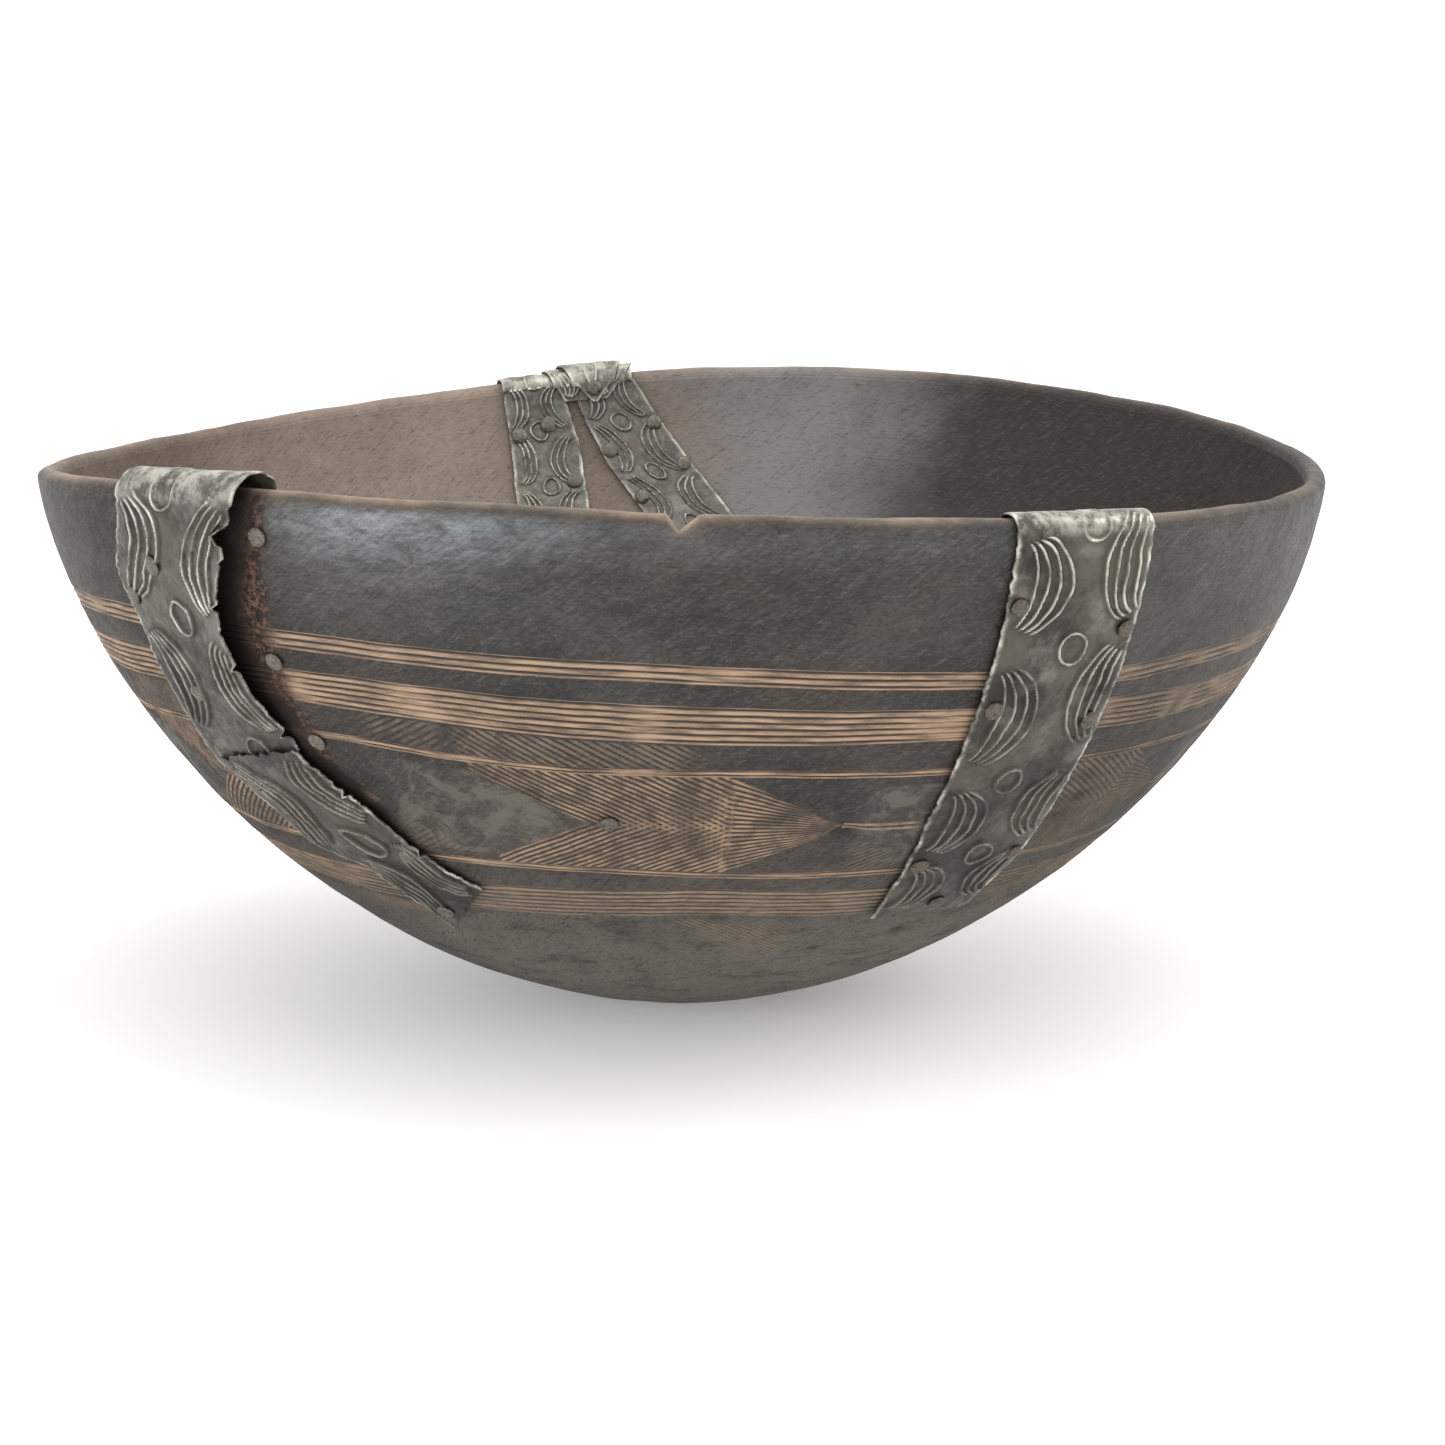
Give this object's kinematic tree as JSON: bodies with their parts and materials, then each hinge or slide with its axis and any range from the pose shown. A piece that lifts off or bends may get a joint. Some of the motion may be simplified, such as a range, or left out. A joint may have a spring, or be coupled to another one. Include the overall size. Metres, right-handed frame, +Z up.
{
  "type": "carved wooden bowl",
  "caption": "Round-bottomed carved wooden bowl with grooved bands and a hatched frieze, its rim repaired with embossed sheet-metal straps held by nails.",
  "frame": {"origin": "centre of the small flat foot that the bowl rests on", "axes": "+Z up through the mouth, -Y towards the front, between the two long outside straps, and +X to the right seen from the front"},
  "size_m": [0.3996, 0.4008, 0.1826],
  "materials": {
    "carved_wood": "dark oiled and smoked patina, worn tan on ridges and rim",
    "strap_tin": "embossed tin sheet, dull dark grey with bright rubbed ridges",
    "nail_iron": "hand-driven iron nail, dark and lightly rusted"
  },
  "bodies": {
    "root": {"bowl": "carved_wood", "strap_right": "strap_tin", "strap_left_upper": "strap_tin", "strap_left_lower": "strap_tin", "strap_back_left": "strap_tin", "strap_back_right": "strap_tin", "tab_back_lower": "strap_tin", "tab_back_upper": "strap_tin", "nail_right_1": "nail_iron", "nail_right_2": "nail_iron", "nail_right_3": "nail_iron", "nail_right_4": "nail_iron", "nail_right_5": "nail_iron", "nail_right_6": "nail_iron", "nail_right_7": "nail_iron", "nail_left_1": "nail_iron", "nail_left_2": "nail_iron", "nail_left_3": "nail_iron", "nail_left_4": "nail_iron", "nail_left_5": "nail_iron", "nail_left_6": "nail_iron", "nail_back_1": "nail_iron", "nail_back_2": "nail_iron", "nail_back_3": "nail_iron", "nail_back_4": "nail_iron", "nail_back_5": "nail_iron", "nail_back_6": "nail_iron", "nail_back_7": "nail_iron", "nail_back_tab": "nail_iron", "nail_torn_1": "nail_iron", "nail_torn_2": "nail_iron", "nail_torn_3": "nail_iron", "nail_frieze": "nail_iron"}
  },
  "joints": []
}
